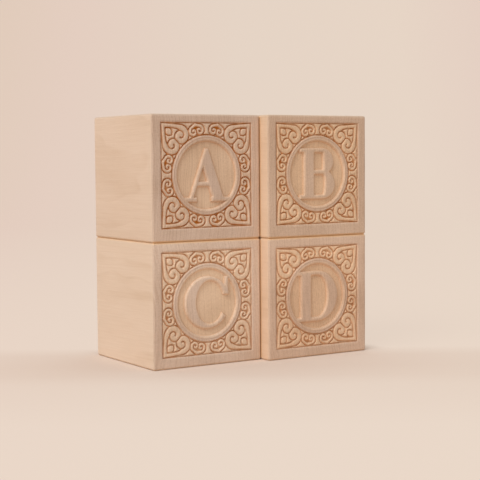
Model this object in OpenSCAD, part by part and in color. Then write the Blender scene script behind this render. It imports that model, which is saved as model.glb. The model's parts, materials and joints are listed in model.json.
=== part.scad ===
// Four wooden alphabet blocks, stacked two by two.
// Each block is one cube of pale wood with a carved front: a square panel of heart scrolls
// round a ring, and a raised capital letter in the dish inside the ring.
// Millimetres, +Z up. The carved fronts face -Y. The origin is on the table, under the stack's centre.

/* [Block] */
// Edge length of one block
block_edge = 45; // [40:0.5:55]
// Radius that eases every edge of a block
edge_radius = 0.8; // [0.5:0.1:2]

/* [Stack] */
// Gap between the left and the right column
column_gap = 0.3; // [0.2:0.05:0.8]
// How far the right column stands forward of the left one
column_step = 4.8; // [0:0.2:12]

/* [Carved panel] */
// Plain border between the block's edge and the carved panel
border = 3.6; // [3:0.1:4.5]
// Depth of the ground between the scrolls
ground_depth = 0.8; // [0.4:0.1:1.5]
// Width of a carved line
line_width = 0.55; // [0.35:0.05:0.65]
// Distance between the tips of the two small hearts on a side
heart_pitch = 9.5; // [8.8:0.1:10]
// Angle at which the small hearts lean towards each other
heart_lean = 13; // [6:1:16]
// Where the panel's middle lies on block a's front, to the right of the front's middle and above it
panel_a = [0.1, 0.9]; // [-1:0.05:1]
// Where the panel's middle lies on block b's front
panel_b = [0, 0.9]; // [-1:0.05:1]
// Where the panel's middle lies on block c's front
panel_c = [-0.1, 0.25]; // [-1:0.05:1]
// Where the panel's middle lies on block d's front
panel_d = [-0.3, 0.05]; // [-1:0.05:1]

/* [Ring and dish] */
// Width of the band of scrolls between the panel's side and the ring
scroll_band = 4.8; // [4.2:0.1:5.6]
// Width of the ring's flat top
ring_width = 1.7; // [1.2:0.1:2.2]
// Depth of the dish that the letter stands in
dish_depth = 0.9; // [0.4:0.1:1.5]

/* [Letter] */
// How far the corners of the letter's square run into the ring
letter_overlap = 0.7; // [0.4:0.1:0.8]
// Width of a thick stroke
stem_width = 4.4; // [3.6:0.1:5]
// Width of a thin stroke and thickness of a serif
hairline = 1.2; // [0.9:0.1:1.6]
// How far a serif stands out beyond its stroke
serif_reach = 1.9; // [1.4:0.1:2.4]
// Radius of the bracket between a stroke and its serif
bracket_radius = 0.6; // [0.3:0.1:0.9]

/* [Hidden] */
wood = "burlywood";
$fn = 48;

// Overshoot of a cut past the face that it enters
overcut = 1;

// Turn between two points of a scroll, and between two points of a letter's curve
scroll_step = 15;
curve_step = 7.5;

panel_half = block_edge / 2 - border;
field_half = panel_half - line_width;
ring_radius = panel_half - scroll_band;
dish_radius = ring_radius - ring_width;

// Half the height of a letter, whose square has its corners in the ring
cap = (dish_radius + letter_overlap) / sqrt(2);

// Room for the scrolls, a line clear of the panel's edge and of the ring
corner_room = sqrt(2) * field_half - ring_radius - line_width;
side_room = scroll_band - 2 * line_width;

// Places in the stack
column_x = (block_edge + column_gap) / 2;
column_y = column_step / 2;

// Points on an ellipse about a centre, from one angle to another
function arc(centre, rx, ry, from, to) =
    let (steps = ceil(abs(to - from) / curve_step))
    [for (i = [0:steps]) let (a = from + (to - from) * i / steps) centre + [rx * cos(a), ry * sin(a)]];

// Point on a scroll, whose radius shrinks by drop in a full turn
function scroll_point(centre, radius, drop, turn) =
    centre + (radius - drop * turn / 360) * [sin(turn), -cos(turn)];

function scroll(centre, radius, drop, turns) =
    [for (turn = [0:scroll_step:turns]) scroll_point(centre, radius, drop, turn)];

// Points on a curve from a to b, drawn towards a bend
function bow(a, bend, b) =
    [for (i = [0:5]) let (u = i / 5) (1 - u) * (1 - u) * a + 2 * u * (1 - u) * bend + u * u * b];

function reverse(points) = [for (i = [len(points) - 1:-1:0]) points[i]];

// A leaf between two points, with a bend on each side
module leaf(from, to, bend_left, bend_right) {
    polygon(concat(bow(from, bend_left, to), bow(to, bend_right, from)));
}

// One half of a heart scroll, with the heart's tip at the origin. The arm leaves the tip along +X and
// rolls up into a lobe, and a hooked line runs from the heart's inside into the lobe, where it ends in a
// dot that is a little wider than the line. One turn in, the lobe's edge is the inner side of that line.
module half_heart(lobe, radius, inner_tip, bend, hook_radius, hook_turn) {
    hook_outer = hook_radius + line_width / 2;
    hook_inner = hook_radius - line_width / 2;
    drop = radius - hook_inner;
    difference() {
        union() {
            polygon(concat([[0, 0], lobe - [0, radius]], bow(lobe - [0, hook_outer], bend, inner_tip)));
            polygon(scroll(lobe, radius, drop, 360));
        }
        polygon(concat(
            scroll(lobe, hook_outer, drop, hook_turn),
            reverse(scroll(lobe, hook_inner, drop, hook_turn))));
        translate(scroll_point(lobe, hook_radius, drop, hook_turn)) circle(d = 1.2 * line_width);
    }
}

// A heart scroll with its tip at the origin and its axis along +Y. Its arms stand at an angle of opening
// from the axis, and a carved line parts the lobes from the cleft on.
module heart(opening, lobe, radius, inner_tip, bend, hook_radius, hook_turn, cleft) {
    difference() {
        for (normal = [[0, 0], [1, 0]])
            mirror(normal) rotate(90 - opening) half_heart(
                lobe, radius, inner_tip * [cos(opening), sin(opening)], bend, hook_radius, hook_turn);
        translate([-line_width / 2, cleft]) square([line_width, cleft]);
    }
}

// A heart scroll for a corner of the panel, with a bud inside it.
// Its tip is at the origin and its axis runs along the diagonal of +X and +Y.
module corner_heart() {
    room = corner_room;
    rotate(-45) heart(
        opening = 45, lobe = [0.677, 0.389] * room, radius = 0.333 * room,
        inner_tip = 0.158 * room, bend = [0.555, 0.095] * room,
        hook_radius = 0.157 * room, hook_turn = 195, cleft = 0.6 * room);
    leaf(
        from = [0.165, 0.165] * room, to = [0.345, 0.345] * room,
        bend_left = [0.13, 0.4] * room, bend_right = [0.4, 0.13] * room);
}

// A small heart scroll for a side of the panel, with its tip on the line along that side.
// Its axis leaves the origin at an angle of lean from +Y.
module side_heart(lean) {
    room = side_room;
    rotate(lean) heart(
        opening = 61, lobe = [0.657, 0.499] * room, radius = 0.554 * room,
        inner_tip = 0.257 * room, bend = [0.45, 0.165] * room,
        hook_radius = 0.262 * room, hook_turn = 195, cleft = 0.55 * room);
}

// All the scrolls, within a square that is a line smaller than the panel
module scrolls() {
    for (quarter = [0:90:270])
        rotate(quarter) {
            translate([field_half, field_half]) rotate(180) corner_heart();
            for (side = [-1, 1])
                translate([side * heart_pitch / 2, field_half]) rotate(180) side_heart(-side * heart_lean);
        }
}

// The wedges of face that are left standing between the scrolls, a line away from each of them
module wedges() {
    tip_radius = line_width / 2;
    offset(r = tip_radius, $fn = 16) offset(delta = -line_width - tip_radius) difference() {
        square(2 * panel_half, center = true);
        circle(ring_radius);
        scrolls();
    }
}

// Letters are centred on the origin, with their feet at y = -cap and their tops at y = cap.

// A flat serif from one x to another, on the inner side of the line at y
module serif(from, to, y) {
    translate([from, y < 0 ? y : y - hairline]) square([to - from, hairline]);
}

// A stroke that leans, with its lower left and its upper left corner given
module leaning_stroke(lower, upper, width) {
    polygon([lower, lower + [width, 0], upper + [width, 0], upper]);
}

// A field that runs straight from a stem at x to a centre and ends in half an ellipse about it
module bowl_field(x, centre, rx, ry) {
    polygon(concat([[x, centre.y - ry]], arc(centre, rx, ry, -90, 90), [[x, centre.y + ry]]));
}

// A bowl on a stem at x, thick at the right and thin above and below
module bowl(x, centre, rx, ry) {
    difference() {
        bowl_field(x, centre, rx, ry);
        bowl_field(x - overcut, centre, rx - stem_width, ry - hairline);
    }
}

// A stem with a serif at the left of its head and foot
module stem(x) {
    translate([x, -cap]) square([stem_width, 2 * cap]);
    for (y = [-cap, cap])
        serif(x - serif_reach, x + stem_width / 2, y);
}

module letter_a() {
    foot = cap - serif_reach;
    apex = hairline / 2;
    bar = -0.4 * cap;
    intersection() {
        polygon([[-foot, -cap], [foot, -cap], [apex, cap], [-apex, cap]]);
        union() {
            leaning_stroke([-foot, -cap], [-apex, cap], hairline);
            leaning_stroke([foot - stem_width, -cap], [apex - stem_width, cap], stem_width);
            translate([-cap, bar]) square([2 * cap, hairline]);
        }
    }
    serif(-cap, -foot + hairline + serif_reach, -cap);
    serif(foot - stem_width - serif_reach / 2, cap, -cap);
}

module letter_b() {
    right = 0.86 * cap;
    x = -right + serif_reach;
    waist = 0.06 * cap;
    lower_ry = (cap + waist + hairline / 2) / 2;
    upper_ry = (cap - waist + hairline / 2) / 2;
    lower_rx = stem_width + 0.11 * cap;
    upper_rx = lower_rx - 0.07 * cap;
    stem(x);
    bowl(x + stem_width / 2, [right - lower_rx, lower_ry - cap], lower_rx, lower_ry);
    bowl(x + stem_width / 2, [right - lower_rx, cap - upper_ry], upper_rx, upper_ry);
}

module letter_c() {
    thin_side = 0.22 * cap;
    counter_x = (stem_width - thin_side) / 2;
    beak = 0.8 * cap;
    beak_foot = 0.3 * cap;
    mouth = 2 * cap;
    difference() {
        polygon(arc([0, 0], cap, cap, 0, 360 - curve_step));
        polygon(arc([counter_x, 0], cap - (stem_width + thin_side) / 2, cap - hairline, 0, 360 - curve_step));
        polygon([[counter_x, 0], [mouth, -0.8 * mouth], [mouth, beak_foot], [counter_x, beak_foot]]);
    }
    translate([beak, beak_foot]) square([hairline, 0.95 * cap - beak_foot]);
}

module letter_d() {
    right = cap;
    x = -right + serif_reach;
    rx = stem_width + 0.5 * cap;
    stem(x);
    bowl(x + stem_width / 2, [right - rx, 0], rx, cap);
}

// The letter with its brackets: every inner corner is rounded
module bracketed() {
    offset(r = -bracket_radius) offset(delta = bracket_radius) children();
}

// A square with its corners eased
module eased_square() {
    flat = block_edge - 2 * edge_radius;
    square([block_edge, flat], center = true);
    square([flat, block_edge], center = true);
    for (x = [-flat / 2, flat / 2], y = [-flat / 2, flat / 2])
        translate([x, y]) circle(edge_radius);
}

// The cube before it is carved, centred on the origin, with every edge eased
module blank() {
    intersection_for (turn = [[0, 0, 0], [90, 0, 0], [0, 90, 0]])
        rotate(turn) linear_extrude(block_edge, center = true) eased_square();
}

// What is cut away round the scrolls, down from the face at z = 0
module scroll_ground() {
    difference() {
        translate([0, 0, -ground_depth]) linear_extrude(ground_depth + overcut) difference() {
            square(2 * panel_half, center = true);
            scrolls();
            wedges();
        }
        cylinder(r = ring_radius, h = 2 * (ground_depth + overcut), center = true);
    }
}

// What is cut away round the letter, down from the face at z = 0
module letter_dish() {
    difference() {
        translate([0, 0, -dish_depth]) cylinder(r = dish_radius, h = dish_depth + overcut);
        linear_extrude(2 * (dish_depth + overcut), center = true) bracketed() children();
    }
}

// A block that stands on its base at the origin, with a letter carved on its front. The panel's middle
// lies where the block was set under the cutter, a little off the front's middle.
module block(panel) {
    translate([0, 0, block_edge / 2]) difference() {
        blank();
        translate([0, -block_edge / 2, 0]) rotate([90, 0, 0]) translate(panel) {
            scroll_ground();
            letter_dish() children();
        }
    }
}

module block_a() {
    color(wood) translate([-column_x, column_y, block_edge]) block(panel_a) letter_a();
}

module block_b() {
    color(wood) translate([column_x, -column_y, block_edge]) block(panel_b) letter_b();
}

module block_c() {
    color(wood) translate([-column_x, column_y, 0]) block(panel_c) letter_c();
}

module block_d() {
    color(wood) translate([column_x, -column_y, 0]) block(panel_d) letter_d();
}

block_a();
block_b();
block_c();
block_d();
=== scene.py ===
import json

import bpy
import numpy as np
from mathutils import Matrix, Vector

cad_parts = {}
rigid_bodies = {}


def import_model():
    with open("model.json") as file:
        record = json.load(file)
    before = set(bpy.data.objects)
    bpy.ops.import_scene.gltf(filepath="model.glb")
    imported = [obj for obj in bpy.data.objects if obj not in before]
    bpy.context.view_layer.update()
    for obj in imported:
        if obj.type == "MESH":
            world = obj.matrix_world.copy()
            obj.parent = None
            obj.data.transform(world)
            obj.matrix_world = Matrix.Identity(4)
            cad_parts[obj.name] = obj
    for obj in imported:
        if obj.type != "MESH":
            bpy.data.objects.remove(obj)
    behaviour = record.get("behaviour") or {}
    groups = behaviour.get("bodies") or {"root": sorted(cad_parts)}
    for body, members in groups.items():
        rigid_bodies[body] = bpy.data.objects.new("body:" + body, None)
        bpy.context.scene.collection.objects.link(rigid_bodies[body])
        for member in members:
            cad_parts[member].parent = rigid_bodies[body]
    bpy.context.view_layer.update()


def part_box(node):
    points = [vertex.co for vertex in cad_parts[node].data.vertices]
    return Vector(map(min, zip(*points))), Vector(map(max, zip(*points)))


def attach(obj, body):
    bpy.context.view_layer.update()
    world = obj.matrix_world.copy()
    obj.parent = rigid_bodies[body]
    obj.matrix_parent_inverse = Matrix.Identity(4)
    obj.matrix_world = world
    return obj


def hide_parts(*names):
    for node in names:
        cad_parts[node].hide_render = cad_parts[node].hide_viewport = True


for leftover in list(bpy.data.objects):
    bpy.data.objects.remove(leftover)
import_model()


# The blanks: four cubes of a pale, close-grained wood, sawn from one square stick with the grain running
# from front to back, then sanded so that every edge is eased. Each block is a single piece of wood.
# Sizes here are in millimetres, and a mesh turns them into metres as it is made.

low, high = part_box("block_c")
block_half = 500 * (high.x - low.x)
ease = 0.8
sanded_off = 0.08
border = 3.6
panel = block_half - border
strip_width = 0.6
forward = 1000 * (low.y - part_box("block_d")[0].y)
touch_at = block_half - forward


def blank_lines(middle):
    """Places of the grid lines along one edge of a blank: even lines over the carved panel, whose middle is
    given, a line at each side of it for the strip that joins it to the blank, a line near each end of
    the flat, then lines over the eased edges whose angles from the face are even."""
    flat = block_half - ease
    near_end = flat - 0.15
    over = flat + ease * np.tan(np.radians(np.linspace(0, 45, 7)))
    return np.concatenate([
        -over[::-1], [-near_end, middle - panel - strip_width],
        np.linspace(middle - panel, middle + panel, 13),
        [middle + panel + strip_width, near_end], over])


def blank_faces(x_lines, y_lines, z_lines):
    """The six grids of points on the cube's faces, each with its two directions in such an order that
    quads round a cell face outwards. The first grid is the front, at -Y."""
    def face(first_axis, first, second_axis, second, third_axis, place):
        """A grid over two axes, at one place on the third."""
        grid = np.empty((len(first), len(second), 3))
        grid[..., first_axis], grid[..., second_axis] = np.meshgrid(first, second, indexing="ij")
        grid[..., third_axis] = place
        return grid

    return [
        face(0, x_lines, 2, z_lines, 1, -block_half), face(2, z_lines, 0, x_lines, 1, block_half),
        face(1, y_lines, 2, z_lines, 0, block_half), face(2, z_lines, 1, y_lines, 0, -block_half),
        face(0, x_lines, 1, y_lines, 2, block_half), face(1, y_lines, 0, x_lines, 2, -block_half)]


def eased(points, phase):
    """The cube's points on the eased blank, the way each one faces and how far it lies round an edge.
    A point is drawn in to a cube that is smaller by the ease, then moved out by the ease towards where
    it was: flats stay, edges become quarter rounds and corners balls. Sanding by hand leaves the rounds
    a little lower in places, by a slow wave along each edge."""
    core = np.clip(points, ease - block_half, block_half - ease)
    facing = points - core
    facing /= np.linalg.norm(facing, axis=-1, keepdims=True)
    round_edge = 2 * (1 - (facing ** 2).max(-1))
    wave = np.sin(points @ [0.31, 0.23, 0.27] + phase) * np.sin(points @ [0.13, -0.17, 0.11] + 2 * phase)
    reach = ease - sanded_off * round_edge * wave ** 2
    return core + reach[..., None] * facing, facing, round_edge


def cells(index):
    """Quads of a grid of vertex numbers, each going round its cell."""
    return np.stack([index[:-1, :-1], index[1:, :-1], index[1:, 1:], index[:-1, 1:]], -1)


# The scroll border: heart scrolls, one in each corner of the panel and two on each side, left standing
# when the lines round them are cut with a fine round cutter, with wedges of the face between them.
# It is the same on all four blocks, and its eight mirrored parts are alike.

line = 0.55
line_foot = 0.25
lip = 0.12
ground = 0.8
scroll_crown = 0.12
crown_reach = 0.8
field = panel - line
band = 4.8
ring_outer = panel - band
small_heart_at = 4.75
small_heart_lean = 13
steps = 144
panel_lines = np.linspace(-panel, panel, 2 * steps + 1)


def turned(points, degrees):
    """Points turned about the origin by an angle."""
    c, s = np.cos(np.radians(degrees)), np.sin(np.radians(degrees))
    return points @ np.array([[c, s], [-s, c]])


def bow(start, bend, end):
    """Points on a curve drawn towards a bend: (1-u)^2 of the start, 2u(1-u) of the bend, u^2 of the end."""
    u = np.linspace(0, 1, 12)[:, None]
    return (1 - u) ** 2 * start + 2 * u * (1 - u) * bend + u ** 2 * end


def volute(centre, radius, drop, turn):
    """Points on a scroll that starts under its centre: its radius shrinks evenly, by drop in a full turn."""
    angle = np.radians(np.linspace(0, turn, int(turn / 8) + 1))
    reach = radius - drop * angle / (2 * np.pi)
    return centre + reach[:, None] * np.stack([np.sin(angle), -np.cos(angle)], -1)


def to_line(points, path):
    """Distance from each point to a path of straight pieces: the point is projected onto every piece, held
    between its ends, and the least distance is kept."""
    run = np.diff(path, axis=0)
    offset = points[..., None, :] - path[:-1]
    along = np.clip((offset * run).sum(-1) / (run ** 2).sum(-1), 0, 1)
    return np.linalg.norm(offset - along[..., None] * run, axis=-1).min(-1)


def to_outline(points, outline):
    """Distance from each point to a closed outline, negative inside it, which is where a ray to the right
    crosses the outline an odd number of times."""
    ahead = np.roll(outline, -1, axis=0)
    tall = np.where(ahead[:, 1] == outline[:, 1], 1, ahead[:, 1] - outline[:, 1])
    x, y = points[..., None, 0], points[..., None, 1]
    spans = (outline[:, 1] > y) != (ahead[:, 1] > y)
    crossing = outline[:, 0] + (y - outline[:, 1]) / tall * (ahead[:, 0] - outline[:, 0])
    inside = (spans & (x < crossing)).sum(-1) % 2 == 1
    reach = to_line(points, np.concatenate([outline, outline[:1]]))
    return np.where(inside, -reach, reach)


def half_heart(points, room, lobe, radius, inner_tip, bend, hook_radius, hook_turn):
    """Distance to one half of a heart scroll with its tip at the origin, negative inside: an arm along +X
    joined to a lobe that rolls in by one turn, less a hooked line cut into the lobe, which ends in a dot.
    The arm runs on into the lobe and past the heart's axis, so that no seam shows there. Its sizes are
    shares of the room that the heart has."""
    lobe, inner_tip, bend = room * np.array([lobe, inner_tip, bend])
    radius, hook_radius = room * radius, room * hook_radius
    drop = radius - hook_radius + line / 2
    run_on = 32
    outer_run = volute(lobe, radius, drop, run_on)
    inner_run = volute(lobe, hook_radius + line / 2, drop, run_on)[::-1]
    inner_side = bow(inner_run[-1], bend, inner_tip)[1:]
    past_axis = inner_tip / 2 + [-inner_tip[1], inner_tip[0]]
    arm = np.concatenate([[[0, 0]], outer_run, inner_run, inner_side, [past_axis]])
    wood = np.minimum(to_outline(points, arm), to_outline(points, volute(lobe, radius, drop, 360)))
    hook = volute(lobe, hook_radius, drop, hook_turn)
    dot = 0.6 * line
    from_dot = np.linalg.norm(points - hook[-1], axis=-1)
    return np.maximum.reduce([wood, line / 2 - to_line(points, hook), dot - from_dot])


def between(value, low, high):
    """Distance outside a band of values, negative inside it."""
    return np.maximum(low - value, value - high)


def heart(points, room, opening, inner_tip, cleft, **sizes):
    """Distance to a heart scroll with its tip at the origin and its axis along +Y, negative inside: two
    halves whose arms stand at an angle of opening from the axis, less a line along the axis that parts
    the lobes from the cleft on."""
    aside, ahead = abs(points[..., 0]), points[..., 1]
    tip_at = [inner_tip * np.cos(np.radians(opening)), inner_tip * np.sin(np.radians(opening))]
    half = half_heart(turned(np.stack([aside, ahead], -1), opening - 90), room, inner_tip=tip_at, **sizes)
    parting = np.maximum(aside - line / 2, between(ahead, room * cleft, 2 * room * cleft))
    return np.maximum(half, -parting)


def leaf(points, room, start, end, bend_left, bend_right):
    """Distance to a leaf between two points, with a bow on each side, negative inside. Its sizes are
    shares of the room that the heart has."""
    start, end, bend_left, bend_right = room * np.array([start, end, bend_left, bend_right])
    left, right = bow(start, bend_left, end), bow(end, bend_right, start)
    return to_outline(points, np.concatenate([left[:-1], right[:-1]]))


def wall(distance, foot):
    """Share of a cut's full depth at a distance outside an outline: a wall that starts a lip's width inside
    it, is eased at the top and at the foot, and reaches the ground at the foot's distance outside it."""
    share = np.clip((distance + lip) / (foot + lip), 0, 1)
    return share ** 2 * (3 - 2 * share)


def crown(inside, fall):
    """How far a raised top falls away towards its outline, where sanding has rounded it: all of the fall at
    the outline, and nothing further inside than the crown's reach."""
    return fall * (1 - np.clip(inside / crown_reach, 0, 1)) ** 2


def mirrored(quarter):
    """A quarter of the panel, from its middle to its corner, mirrored to the whole panel."""
    half = np.concatenate([quarter[:0:-1], quarter])
    return np.concatenate([half[:, :0:-1], half], axis=1)


across, up = np.meshgrid(panel_lines[steps:], panel_lines[steps:], indexing="ij")
upper, inner = np.maximum(across, up), np.minimum(across, up)
room = np.sqrt(2) * field - ring_outer - line
small_room = band - 2 * line
from_corner = field - np.stack([inner, upper], -1)
from_tip = turned(np.stack([small_heart_at - inner, field - upper], -1), small_heart_lean)
corner_heart = heart(
    turned(from_corner, 45), room, opening=45, inner_tip=0.158, cleft=0.6, lobe=[0.677, 0.389],
    radius=0.333, bend=[0.555, 0.095], hook_radius=0.157, hook_turn=195)
bud = leaf(from_corner, room, [0.165, 0.165], [0.345, 0.345], [0.13, 0.4], [0.4, 0.13])
small_heart = heart(
    from_tip, small_room, opening=61, inner_tip=0.257, cleft=0.55, lobe=[0.657, 0.499],
    radius=0.554, bend=[0.45, 0.165], hook_radius=0.262, hook_turn=195)
to_ring = np.hypot(across, up) - ring_outer
to_raised = np.minimum.reduce([corner_heart, bud, small_heart, to_ring])
to_rim = panel - upper
rim_wall = to_rim - lip

# The middle of a small heart is cut to the ground, so no wedge is left in it.
middle_half = 1
middle_end = 0.75 * small_room
in_small = np.maximum(abs(from_tip[..., 0]) - middle_half, between(from_tip[..., 1], 0, middle_end)) < 0
gap = np.where(in_small, 0, np.minimum(to_raised, to_rim))
cut = np.minimum(wall(np.minimum(to_raised, rim_wall), line_foot), wall(line - gap, line_foot))
top = np.maximum(-to_raised, gap - line)
rounded = crown(top, scroll_crown) * wall(rim_wall, line_foot)
scroll_depth = mirrored((ground - scroll_crown) * cut + rounded)
scroll_cut = mirrored(cut)
# Brown of the cutter and painted shade, growing with the depth of the cut.
scroll_brown_and_shade = mirrored(cut ** 1.7)
in_scrolls = mirrored(wall(np.minimum(rim_wall, to_ring), line_foot))


# The ring and the dish: a ring left at face level with a hair-fine line cut round it, and inside it a
# flat-bottomed dish, in which the letter is left standing. The corners of a letter's square run just into
# the ring. The foot of each wall and the hair-fine line are darkened brown, part the cutter's heat and
# part painted shade.

ring_width = 1.7
ring_line_in = 0.9
ring_line_width = 0.13
ring_line_depth = 0.14
dish_depth = 0.9
dish_foot = 0.45
letter_crown = 0.1
run_in = 0.7
uneven_depth = 0.18
uneven_brown_and_shade = 0.35
dish_outer = ring_outer - ring_width
cap = (dish_outer + run_in) / np.sqrt(2)
panel_x, panel_z = np.meshgrid(panel_lines, panel_lines, indexing="ij")
from_middle = np.hypot(panel_x, panel_z)
in_dish = from_middle < dish_outer + ring_width / 2


def hump(distance, place, width):
    """A smooth hump of height 1 at a place: e to the power of minus the square of the widths from it."""
    return np.exp(-((distance - place) / width) ** 2)


ring_line = hump(from_middle - dish_outer, ring_line_in, ring_line_width)


def carved_front(letter, scraped, brown_and_shade_amount, phase):
    """Depth, fresh cut, and the cutter's brown with painted shade, all over the panel: the scroll border
    outside the middle of the ring, and inside it the dish, whose sloping walls are measured from the letter
    and from the ring. The brown and painted shade grow with the depth of the lines and lie at the foot of
    the dish's walls and in the ring's fine line. The tops of the scrolls are scraped, and the rims of the
    ring and the letter are worn pale. The cutter went a little deeper in places, by two crossed waves, and
    the lines are browner and more shaded there."""
    hard = np.sin(1.1 * panel_x + 0.6 * panel_z + phase) * np.sin(0.8 * panel_z - 0.5 * panel_x + 2 * phase)
    depth = scroll_depth * (1 + uneven_depth * hard)
    fresh = np.maximum(scroll_cut, scraped * in_scrolls)
    brown_and_shade = brown_and_shade_amount * scroll_brown_and_shade * (1 + uneven_brown_and_shade * hard)
    gap = np.minimum(letter(panel_x[in_dish], panel_z[in_dish]), dish_outer - from_middle[in_dish])
    cut = wall(gap, dish_foot)
    rim = hump(gap, -0.25, 0.2)
    wall_foot = hump(gap, 0.4, 0.2)
    depth[in_dish] = (dish_depth - letter_crown) * cut + crown(-gap, letter_crown)
    fresh[in_dish] = np.maximum(cut, 0.6 * rim)
    # Brown of the cutter and painted shade at the foot of the dish's walls.
    brown_and_shade[in_dish] = 0.3 * brown_and_shade_amount * wall_foot
    return depth + ring_line_depth * ring_line, fresh, brown_and_shade + 0.25 * brown_and_shade_amount * ring_line


# The letters: capitals with thick stems, thin hairlines and flat serifs on small brackets, at face level.
# They are cut from the block itself, so each is part of its block, and each has its own function here.

stem = 4.4
hair = 1.2
serif = 1.9
bracket = 0.6


def joined(first, second):
    """Two shapes joined with a round bracket in the corner between them."""
    near = np.maximum(bracket - np.stack([first, second]), 0)
    return np.maximum(bracket, np.minimum(first, second)) - np.linalg.norm(near, axis=0)


def arc(centre, rx, ry, start, end):
    """Points on an ellipse about a centre, from one angle to another."""
    angle = np.radians(np.linspace(start, end, int(abs(end - start) / 5) + 1))
    return np.array(centre) + np.stack([rx * np.cos(angle), ry * np.sin(angle)], -1)


def bowl_field(x, z, left, centre, rx, ry):
    """Distance to a field that runs from a line at the left to a centre and ends in half an ellipse."""
    ends = np.array([[left, centre[1] + ry], [left, centre[1] - ry]])
    return to_outline(np.stack([x, z], -1), np.concatenate([arc(centre, rx, ry, -90, 90), ends]))


def stem_with_serifs(x, z, left):
    """Distance to an upright stem with a serif at the left of its head and foot, before the line is cut off
    at the cap height."""
    serifs = np.maximum(between(x, left - serif, left + stem / 2), cap - hair - abs(z))
    return joined(between(x, left, left + stem), serifs)


def letter_a(x, z):
    """Two leaning strokes, the right one thick, and a bar, inside lines from the feet to a narrow apex, on
    two flat feet."""
    foot = cap - serif
    lean = (foot - hair / 2) / (2 * cap)
    square_on = 1 / np.hypot(1, lean)
    from_left = (x + foot - lean * (z + cap)) * square_on
    from_right = (foot - lean * (z + cap) - x) * square_on
    thin = between(from_left, 0, hair * square_on)
    thick = between(from_right, 0, stem * square_on)
    bar_foot = -0.4 * cap
    bar = between(z, bar_foot, bar_foot + hair)
    strokes = np.maximum.reduce([joined(joined(thin, thick), bar), -from_left, -from_right])
    left_foot = between(x, -cap, hair + serif - foot)
    right_foot = between(x, foot - stem - serif / 2, cap)
    feet = np.maximum(np.minimum(left_foot, right_foot), z + cap - hair)
    return np.maximum(joined(strokes, feet), abs(z) - cap)


def letter_b(x, z):
    """A stem with two bowls, the lower one taller and wider, which share a hairline at the waist."""
    right = 0.86 * cap
    left = serif - right
    waist = 0.06 * cap
    low_ry, high_ry = (cap + waist + hair / 2) / 2, (cap - waist + hair / 2) / 2
    low_rx = stem + 0.11 * cap
    high_rx = low_rx - 0.07 * cap
    low_centre, high_centre = (right - low_rx, low_ry - cap), (right - low_rx, cap - high_ry)
    fields = joined(
        bowl_field(x, z, left + stem / 2, low_centre, low_rx, low_ry),
        bowl_field(x, z, left + stem / 2, high_centre, high_rx, high_ry))
    low_counter = bowl_field(x, z, left, low_centre, low_rx - stem, low_ry - hair)
    high_counter = bowl_field(x, z, left, high_centre, high_rx - stem, high_ry - hair)
    bowls = np.maximum.reduce([fields, -low_counter, -high_counter])
    return np.maximum(joined(stem_with_serifs(x, z, left), bowls), abs(z) - cap)


def letter_c(x, z):
    """A disc less a narrower counter that leaves its left side thick, open at the right, with a beak."""
    points = np.stack([x, z], -1)
    thin_side = 0.22 * cap
    counter_x = (stem - thin_side) / 2
    beak_left = 0.8 * cap
    beak_foot = 0.3 * cap
    beak_top = 0.95 * cap
    beak = np.maximum(between(x, beak_left, beak_left + hair), between(z, beak_foot, beak_top))
    counter = arc((counter_x, 0), cap - (stem + thin_side) / 2, cap - hair, 0, 355)
    mouth = np.array([[counter_x, 0], [2 * cap, -1.6 * cap], [2 * cap, beak_foot], [counter_x, beak_foot]])
    sweep = np.maximum.reduce([
        np.hypot(x, z) - cap, -to_outline(points, counter), -to_outline(points, mouth)])
    return joined(sweep, beak)


def letter_d(x, z):
    """A stem with one large bowl."""
    left = serif - cap
    rx = stem + 0.5 * cap
    outer = bowl_field(x, z, left + stem / 2, (cap - rx, 0), rx, cap)
    counter = bowl_field(x, z, left, (cap - rx, 0), rx - stem, cap - hair)
    bowl = np.maximum(outer, -counter)
    return np.maximum(joined(stem_with_serifs(x, z, left), bowl), abs(z) - cap)


# The wood: bare, sanded and matt. The growth rings stand nearly upright across the front, where the cut
# ends of the fibres show, and run from front to back along the sides as faint wandering lines.

side_early = (0.80, 0.615, 0.47)
side_late = (0.69, 0.50, 0.355)
end_early = (0.82, 0.62, 0.485)
end_late = (0.59, 0.405, 0.285)
# The eased edges are darkened: part wear, part painted shade on the rounds.
worn_edge_and_shade_colour = (0.53, 0.395, 0.295, 1)
# Painted brown shade with warm bounce light where blocks touch each other or the table.
seam_shade_colour = (0.84, 0.50, 0.22, 1)
# The cutter's brown with painted shade, laid into the carved lines.
groove_brown_and_shade_colour = (0.61, 0.213, 0.025, 1)
fresh_gain = (1.15, 1.11, 0.99, 1)
sapwood_gain = (1.14, 1.17, 1.19, 1)


def shade(tree, kind, inputs, **settings):
    """A shader node with its settings, whose inputs are numbers, colours or other nodes' outputs."""
    node = tree.nodes.new(kind)
    for key, value in settings.items():
        setattr(node, key, value)
    for key, value in inputs.items():
        if isinstance(value, bpy.types.NodeSocket):
            tree.links.new(value, node.inputs[key])
        else:
            node.inputs[key].default_value = value
    return node


def ramp(tree, factor, stops):
    """Colours laid along a value, with straight steps between them."""
    node = shade(tree, "ShaderNodeValToRGB", {"Fac": factor})
    while len(node.color_ramp.elements) < len(stops):
        node.color_ramp.elements.new(0.5)
    for element, (position, colour) in zip(node.color_ramp.elements, stops):
        element.position = position
        element.color = (*colour, 1)
    return node.outputs["Color"]


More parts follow.
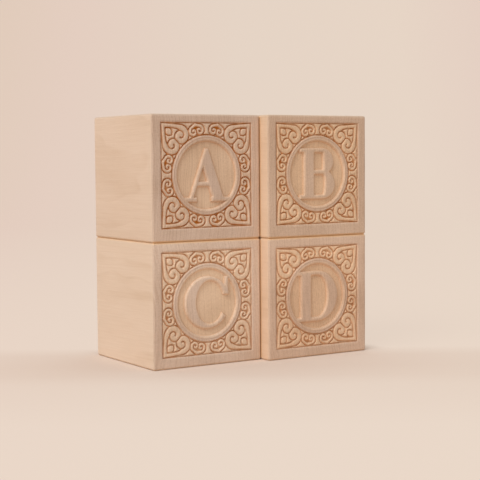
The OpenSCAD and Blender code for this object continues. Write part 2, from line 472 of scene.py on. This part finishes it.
def bare_wood(name, pith, tilt, streak, speckle, tone, sapwood):
    """Sanded wood whose rings lie round a line from front to back through the pith. A ring's colour grows
    slowly and then stops short, fibres are a noise drawn out along the grain, and pores are its darkest
    spots. The cut ends show the rings as streaks and the pores as specks. The front is paler in the
    sapwood, which sets in between two heights. Cut ground is fresher, and the bottoms of its lines are
    brown from the cutter and darkened with painted shade. Eased edges are smoother from wear and darker,
    part wear and part painted shade. Where another block or the table touches, the wood carries a painted
    brown shade with warm bounce light."""
    material = bpy.data.materials.new(name)
    material.use_nodes = True
    tree = material.node_tree
    tree.nodes.clear()

    def sum_of(first, second, factor):
        """First plus a factor of second."""
        node = shade(tree, "ShaderNodeMath", {0: second, 1: factor, 2: first}, operation="MULTIPLY_ADD")
        return node.outputs[0]

    def product(first, second):
        """First times second."""
        return shade(tree, "ShaderNodeMath", {0: first, 1: second}, operation="MULTIPLY").outputs[0]

    def noise_along(scale, detail):
        """Noise of a size along each axis, in turns per millimetre."""
        drawn = shade(tree, "ShaderNodeVectorMath", {0: place, 1: scale}, operation="MULTIPLY")
        return shade(tree, "ShaderNodeTexNoise", {
            "Vector": drawn.outputs[0], "Scale": 1.0, "Detail": detail, "Roughness": 0.6}).outputs["Fac"]

    def noise_across(scale, detail):
        """Noise that changes only from ring to ring, in turns per millimetre."""
        return shade(tree, "ShaderNodeTexNoise", {
            "W": across_rings, "Scale": scale, "Detail": detail}, noise_dimensions="1D").outputs["Fac"]

    def spread(value, low, high):
        """A value stretched from a range to 0 and 1, held there."""
        node = shade(tree, "ShaderNodeMapRange", {"Value": value, "From Min": low, "From Max": high})
        return node.outputs[0]

    def laid_over(factor, under, over, way="MIX"):
        """A colour laid over another by a factor, or multiplied into it."""
        colours = {"Factor": factor, 6: under, 7: over}
        return shade(tree, "ShaderNodeMix", colours, data_type="RGBA", blend_type=way).outputs[2]

    def attribute(key):
        """A mark that the mesh carries at its vertices."""
        return shade(tree, "ShaderNodeAttribute", {}, attribute_name=key).outputs["Fac"]

    where = shade(tree, "ShaderNodeTexCoord", {}).outputs["Object"]
    place = shade(tree, "ShaderNodeMapping", {
        "Vector": where, "Location": pith, "Rotation": tilt, "Scale": (1000, 1000, 1000)}).outputs[0]
    upright = shade(tree, "ShaderNodeVectorMath", {0: place, 1: (1, 0, 1)}, operation="MULTIPLY").outputs[0]
    radius = shade(tree, "ShaderNodeVectorMath", {0: upright}, operation="LENGTH").outputs["Value"]
    drift = noise_along((0.045, 0.016, 0.045), 2.0)
    across_rings = sum_of(radius, drift, 4.0)
    uneven = noise_across(0.45, 1.0)
    ring_count = sum_of(product(across_rings, 0.8), uneven, 2.5)
    ring = shade(tree, "ShaderNodeMath", {0: ring_count}, operation="FRACT").outputs[0]
    late = ramp(tree, ring, [(0, (0, 0, 0)), (0.5, (0.2, 0.2, 0.2)), (0.88, (1, 1, 1)), (1, (0, 0, 0))])
    patch = spread(noise_along((0.12, 0.03, 0.12), 2.0), 0.3, 0.7)
    fibre = spread(noise_along((1.7, 0.045, 1.7), 4.0), 0.3, 0.7)
    cloud = spread(noise_along((0.07, 0.02, 0.07), 1.0), 0.3, 0.7)
    pore = spread(noise_along((3.2, 0.2, 3.2), 3.0), 0.5, 0.72)
    figure = sum_of(product(fibre, 0.35), cloud, 0.3)
    side_value = sum_of(sum_of(figure, product(late, patch), 0.5), pore, 0.1)
    streaks = sum_of(product(late, spread(patch, -0.6, 1.0)), spread(noise_across(1.6, 2.0), 0.35, 0.7), 0.6)
    end_value = sum_of(sum_of(figure, streaks, streak), pore, speckle)
    side_wood = ramp(tree, side_value, [(0, tone * side_early), (1, tone * side_late)])
    end_wood = ramp(tree, end_value, [(0, tone * end_early), (1, tone * end_late)])
    wood = laid_over(attribute("end_grain"), side_wood, end_wood)
    # Painted shade and wear darken the eased edges.
    worn_and_shaded_edge = laid_over(product(attribute("worn_and_shaded_edge"), 0.4), wood, worn_edge_and_shade_colour)
    # Painted shade with warm bounce light at the seams.
    seam_shade = laid_over(product(attribute("seam_shade"), 0.85), worn_and_shaded_edge, seam_shade_colour)
    fresh = laid_over(attribute("fresh_cut"), seam_shade, fresh_gain, way="MULTIPLY")
    height = shade(tree, "ShaderNodeSeparateXYZ", {0: where}).outputs["Z"]
    pale_end = product(attribute("end_grain"), spread(height, *sapwood))
    paler = laid_over(pale_end, fresh, sapwood_gain, way="MULTIPLY")
    # The carved lines get the cutter's brown with painted shade.
    colour = laid_over(product(attribute("brown_and_shade"), 0.8), paler, groove_brown_and_shade_colour)
    relief = sum_of(product(fibre, 0.6), pore, -0.6)
    bump = shade(tree, "ShaderNodeBump", {"Height": relief, "Strength": 0.25, "Distance": 0.0001})
    rough = spread(sum_of(fibre, attribute("worn_and_shaded_edge"), -0.8), -3.5, 2.0)
    body = shade(tree, "ShaderNodeBsdfPrincipled", {
        "Base Color": colour, "Roughness": rough, "Normal": bump.outputs[0], "Specular IOR Level": 0.3})
    shade(tree, "ShaderNodeOutputMaterial", {"Surface": body.outputs[0]})
    return material


def carved_block(node, letter, panel_at, phase, scraped, brown_and_shade_amount, beside, touched):
    """One closed mesh: the eased blank with its front cut open at the panel, the panel's fine grid moved in
    by the depth of the carving, and four flat strips that join the panel's fine sides to the blank's
    wide ones. Vertices carry the end grain, the edges' wear with painted shade, the painted shade of the
    seams, the fresh cut and the cutter's brown with painted shade. Beside holds the directions in which
    another block or the table lies, whose seam gets painted shade, shorter where it touches lightly.
    Touched is the side that lies against the other column, 1 for the right and -1 for the left, and it
    gets a band of painted shade where that column's edge meets it."""
    x_lines, z_lines = blank_lines(panel_at[0]), blank_lines(panel_at[1])
    # A band of painted shade on the side where the other column's edge meets it.
    touch_shade_at = np.array([-3.2, -0.1, 0, 0.7, 1.3])
    touch_shade_share = [0, 0.2, 0.7, 0.7, 0]
    touch_lines = touch_at - touch_shade_at[1:]
    y_lines = np.sort(np.concatenate([blank_lines(0), touch_lines, -touch_lines]))
    faces = blank_faces(x_lines, y_lines, z_lines)
    blank, facing, worn_and_shaded_edge = eased(np.concatenate([face.reshape(-1, 3) for face in faces]), phase)

    side_grain = facing[:, 0] ** 2 / np.maximum(facing[:, 0] ** 2 + facing[:, 1] ** 2, 1e-9)
    # Painted shade at the seams: on rounds that face another block or the table, and in the band on the
    # touching side.
    seam_shade = np.max(facing @ np.array(beside, float).T, axis=-1) * (worn_and_shaded_edge > 0) * (1 - 0.5 * side_grain)
    touching = touched * facing[:, 0] > 0.99
    touch_shade = np.interp(touch_at - touched * blank[:, 1], touch_shade_at, touch_shade_share) * touching
    seam_shade = np.clip(np.maximum(seam_shade, touch_shade), 0, 1)
    depth, fresh_cut, brown_and_shade = carved_front(letter, scraped, brown_and_shade_amount, phase)
    front = np.stack([panel_x + panel_at[0], depth - block_half, panel_z + panel_at[1]], -1)
    points = np.concatenate([blank, front.reshape(-1, 3)])
    plain_blank, plain_front = np.zeros(len(blank)), np.zeros(depth.size)
    marks = {
        "end_grain": np.concatenate([facing[:, 1] ** 2, np.ones(depth.size)]),
        "worn_and_shaded_edge": np.concatenate([worn_and_shaded_edge, plain_front]),
        "seam_shade": np.concatenate([seam_shade, plain_front]),
        "fresh_cut": np.concatenate([plain_blank, fresh_cut.ravel()]),
        "brown_and_shade": np.concatenate([plain_blank, brown_and_shade.ravel()])}

    counts = [face[..., 0].size for face in faces]
    starts = np.cumsum([0] + counts)
    index = [
        start + np.arange(count).reshape(face.shape[:2]) for start, count, face in zip(starts, counts, faces)]
    fine = starts[-1] + np.arange(depth.size).reshape(depth.shape)
    first = np.argmin(abs(x_lines - panel_at[0] + panel))
    last = np.argmin(abs(x_lines - panel_at[0] - panel))
    kept = np.ones((len(x_lines) - 1, len(z_lines) - 1), bool)
    kept[first:last, first - 1:last + 1] = False
    kept[first - 1:last + 1, first:last] = False
    quads = [cells(index[0])[kept]] + [cells(face).reshape(-1, 4) for face in index[1:] + [fine]]
    quads = np.concatenate(quads)
    span = slice(first, last + 1)
    strips = [
        np.concatenate([fine[:, -1], index[0][span, last + 1][::-1]]),
        np.concatenate([index[0][span, first - 1], fine[::-1, 0]]),
        np.concatenate([index[0][last + 1, span], fine[-1, ::-1]]),
        np.concatenate([index[0][first - 1, span][::-1], fine[0]])]

    # Points that lie together become one vertex, and points that no polygon uses are left out.
    rounded_off = np.round(points, 5)
    chosen, number = np.unique(rounded_off, axis=0, return_index=True, return_inverse=True)[1:]
    number = number.ravel()
    used = np.unique(number[np.concatenate([quads.ravel()] + strips)])
    place = np.zeros(len(chosen), int)
    place[used] = np.arange(len(used))
    chosen = chosen[used]

    low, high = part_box(node)
    middle = 500 * np.array(low + high)
    mesh = bpy.data.meshes.new(node + "_carved")
    polygons = place[number[quads]].tolist() + [place[number[strip]].tolist() for strip in strips]
    mesh.from_pydata((0.001 * (points[chosen] + middle)).tolist(), [], polygons)
    mesh.shade_smooth()
    for key, values in marks.items():
        carried = mesh.attributes.new(key, "FLOAT", "POINT")
        carried.data.foreach_set("value", values[chosen].astype(np.float32))
    piece = bpy.data.objects.new(node + "_carved", mesh)
    bpy.context.scene.collection.objects.link(piece)
    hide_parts(node)
    return piece


# The lower left block stands on the table and carries the upper left one. Its letter is a C.
# It is one piece of wood, and nothing but its weight holds it.

lower_left = carved_block(
    "block_c", letter_c, panel_at=(-0.1, 0.25), phase=0.4, scraped=0.75, brown_and_shade_amount=0.7,
    beside=[(0, 0, 1), (0, 0, -0.5)], touched=1)
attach(lower_left, "lower_left")
lower_left.data.materials.append(bare_wood(
    "wood_c", pith=(205, 30, -10), tilt=(0.03, 0.01, 0.01), streak=0.35, speckle=0.25,
    tone=np.array([1.06, 1.10, 1.14]), sapwood=(0.015, 0.045)))

# The lower right block stands on the table beside it and a little further forward. Its letter is a D.
# It is one piece of wood too, and carries the upper right block.

lower_right = carved_block(
    "block_d", letter_d, panel_at=(-0.3, 0.05), phase=1.7, scraped=1.0, brown_and_shade_amount=0.6,
    beside=[(0, 0, 1), (0, 0, -0.5)], touched=-1)
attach(lower_right, "lower_right")
lower_right.data.materials.append(bare_wood(
    "wood_d", pith=(-230, 210, -35), tilt=(-0.02, 0.02, -0.02), streak=0.35, speckle=0.35,
    tone=np.array([1.07, 1.05, 1.03]), sapwood=(0.02, 0.045)))

# The upper left block is one piece of wood that lies on the lower left one and lifts straight off.
# Its letter is an A. Its front shows the darkest and finest streaks of the four.

upper_left = carved_block(
    "block_a", letter_a, panel_at=(0.1, 0.9), phase=2.9, scraped=0.5, brown_and_shade_amount=1.2,
    beside=[(0, 0, -1)], touched=1)
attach(upper_left, "upper_left")
upper_left.data.materials.append(bare_wood(
    "wood_a", pith=(240, 420, -70), tilt=(0.02, -0.01, 0.015), streak=0.42, speckle=0.2,
    tone=np.array([1.01, 1.03, 1.06]), sapwood=(0.062, 0.031)))

# The upper right block is one piece of wood that lies on the lower right one and lifts straight off.
# Its letter is a B. Its left side shows only as a strip, because the right column stands forward.

upper_right = carved_block(
    "block_b", letter_b, panel_at=(0, 0.9), phase=4.2, scraped=1.0, brown_and_shade_amount=0.85,
    beside=[(0, 0, -1)], touched=-1)
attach(upper_right, "upper_right")
upper_right.data.materials.append(bare_wood(
    "wood_b", pith=(-210, 640, -60), tilt=(-0.03, 0.01, 0.02), streak=0.32, speckle=0.45,
    tone=np.array([1.07, 1.06, 1.03]), sapwood=(0.052, 0.025)))


# The studio: a sheet of pale peach paper that runs from under the blocks up into the backdrop, facing
# the camera. The camera sees it in an even colour of its own, a little darker towards the left, with a
# painted soft shade before the blocks and a darker painted shade near them, over some of the real shadow
# it keeps there. It is not part of the object.

yaw, pitch, roll = np.radians([32.448, 3.803, -0.429])
paper_peach = (0.80, 0.67, 0.58, 1)
paper_in_shade = (0.655, 0.485, 0.385, 1)


def paper_sweep():
    """A flat floor, a quarter round and an upright wall, carried straight across the view, in metres."""
    floor_end = 0.9
    quarter = 0.7
    turn = np.linspace(0, np.pi / 2, 24)
    along = np.concatenate([[-3.0, -1.0], floor_end + quarter * np.sin(turn), [floor_end + quarter]])
    height = np.concatenate([[0, 0], quarter - quarter * np.cos(turn), [4.0]])
    aside = np.linspace(-4, 4, 9)
    x = along[:, None] * np.sin(yaw) + aside * np.cos(yaw)
    y = along[:, None] * np.cos(yaw) - aside * np.sin(yaw)
    return np.stack([x, y, np.broadcast_to(height[:, None], x.shape)], -1)


sheet = paper_sweep()
paper_mesh = bpy.data.meshes.new("paper")
paper_quads = cells(np.arange(sheet[..., 0].size).reshape(sheet.shape[:2]))[..., ::-1]
paper_mesh.from_pydata(sheet.reshape(-1, 3).tolist(), [], paper_quads.reshape(-1, 4).tolist())
paper_mesh.shade_smooth()
paper = bpy.data.objects.new("paper", paper_mesh)
bpy.context.scene.collection.objects.link(paper)
paper_look = bpy.data.materials.new("paper")
paper_look.use_nodes = True
paper_tree = paper_look.node_tree
paper_tree.nodes.clear()
rays = shade(paper_tree, "ShaderNodeLightPath", {})
seen = shade(paper_tree, "ShaderNodeMath", {
    0: rays.outputs["Is Camera Ray"], 1: rays.outputs["Is Glossy Ray"]}, operation="MAXIMUM")
seen = shade(paper_tree, "ShaderNodeMath", {
    0: seen.outputs[0], 1: rays.outputs["Is Transmission Ray"]}, operation="MAXIMUM")
paper_place = shade(paper_tree, "ShaderNodeTexCoord", {}).outputs["Object"]

close_by = shade(paper_tree, "ShaderNodeAmbientOcclusion", {"Distance": 0.012}, samples=4)
round_about = shade(paper_tree, "ShaderNodeAmbientOcclusion", {"Distance": 0.06}, samples=4)
far_share = shade(paper_tree, "ShaderNodeMapRange", {
    "Value": close_by.outputs["AO"], "From Min": 0.5, "From Max": 0.95, "To Min": 0.05, "To Max": 0.88})
share = shade(paper_tree, "ShaderNodeMath", {
    0: seen.outputs[0], 1: far_share.outputs[0]}, operation="MULTIPLY")
matt = shade(paper_tree, "ShaderNodeBsdfDiffuse", {"Color": paper_peach})
in_view = shade(paper_tree, "ShaderNodeMapping", {"Vector": paper_place, "Rotation": (0, 0, yaw)})
in_view = shade(paper_tree, "ShaderNodeSeparateXYZ", {0: in_view.outputs[0]})
aside = shade(paper_tree, "ShaderNodeMapRange", {
    "Value": in_view.outputs["X"], "From Min": -0.4, "From Max": 0.4})
lit = ramp(paper_tree, aside.outputs[0], [
    (0.02, (0.794, 0.635, 0.522)), (0.19, (0.82, 0.652, 0.56)), (0.5, (0.833, 0.70, 0.595)),
    (0.81, (0.845, 0.708, 0.60)), (0.98, (0.827, 0.668, 0.58))])
# Painted shade for the camera: a band across the view before the blocks, darkest near them.
along = shade(paper_tree, "ShaderNodeMapRange", {
    "Value": in_view.outputs["Y"], "From Min": -0.13, "From Max": 0.012})
before = ramp(paper_tree, along.outputs[0], [
    (0, (0, 0, 0)), (0.25, (0.33, 0.33, 0.33)), (0.44, (0.5, 0.5, 0.5)), (0.56, (0.95, 0.95, 0.95)),
    (0.7, (1, 1, 1)), (0.87, (0.8, 0.8, 0.8)), (1, (0, 0, 0))])
near = shade(paper_tree, "ShaderNodeMapRange", {
    "Value": round_about.outputs["AO"], "From Min": 0.55, "From Max": 0.95, "To Min": 1.0, "To Max": 0.33})
shaded = shade(paper_tree, "ShaderNodeMath", {0: before, 1: near.outputs[0]}, operation="MULTIPLY")
tint = shade(paper_tree, "ShaderNodeMix", {
    "Factor": shaded.outputs[0], 6: lit, 7: paper_in_shade}, data_type="RGBA")
even = shade(paper_tree, "ShaderNodeEmission", {"Color": tint.outputs[2]})
paper_mix = shade(paper_tree, "ShaderNodeMixShader", {
    0: share.outputs[0], 1: matt.outputs[0], 2: even.outputs[0]})
shade(paper_tree, "ShaderNodeOutputMaterial", {"Surface": paper_mix.outputs[0]})
paper_mesh.materials.append(paper_look)

# The light: a large soft box at the upper left, and an even pale surround that fills the shadows.
# Neither is part of the object.

world = bpy.data.worlds.new("surround")
bpy.context.scene.world = world
world.use_nodes = True
world.node_tree.nodes["Background"].inputs["Color"].default_value = (1.0, 0.98, 0.96, 1)
world.node_tree.nodes["Background"].inputs["Strength"].default_value = 0.41
soft_box = bpy.data.lights.new("soft_box", "AREA")
soft_box.shape = "RECTANGLE"
soft_box.size = 0.7
soft_box.size_y = 0.7
soft_box.energy = 9.0
soft_box.color = (1.0, 0.98, 0.95)
soft_box_lamp = bpy.data.objects.new("soft_box", soft_box)
soft_box_away = 1.2
towards = np.array([-0.62, -0.27, 0.74])
towards /= np.linalg.norm(towards)
side = np.cross([0, 0, 1], towards)
side /= np.linalg.norm(side)
soft_box_turn = np.array([side, np.cross(towards, side), towards]).T
soft_box_lamp.matrix_world = Matrix.Translation(soft_box_away * towards) @ Matrix(soft_box_turn).to_4x4()
bpy.context.scene.collection.objects.link(soft_box_lamp)

# The camera: half a metre away at the front left, a little above the blocks' middle, with a long lens.
# Its place, its turn and its lens are fitted to the blocks' corners, the lens in pixels of the picture.

camera_at = (-0.2499, -0.399, 0.0745)
lens_pixels = 1237.64
picture_pixels = 480
looking = np.array([np.sin(yaw) * np.cos(pitch), np.cos(yaw) * np.cos(pitch), -np.sin(pitch)])
level = np.array([np.cos(yaw), -np.sin(yaw), 0])
rise = np.cross(level, looking)
camera_right = np.cos(roll) * level + np.sin(roll) * rise
camera_up = np.cos(roll) * rise - np.sin(roll) * level
camera_data = bpy.data.cameras.new("camera")
camera_data.sensor_width = 36
camera_data.lens = camera_data.sensor_width * lens_pixels / picture_pixels
camera = bpy.data.objects.new("camera", camera_data)
camera_turn = Matrix(np.array([camera_right, camera_up, -looking]).T).to_4x4()
camera.matrix_world = Matrix.Translation(camera_at) @ camera_turn
bpy.context.scene.collection.objects.link(camera)
bpy.context.scene.camera = camera
bpy.context.scene.view_settings.view_transform = "Standard"
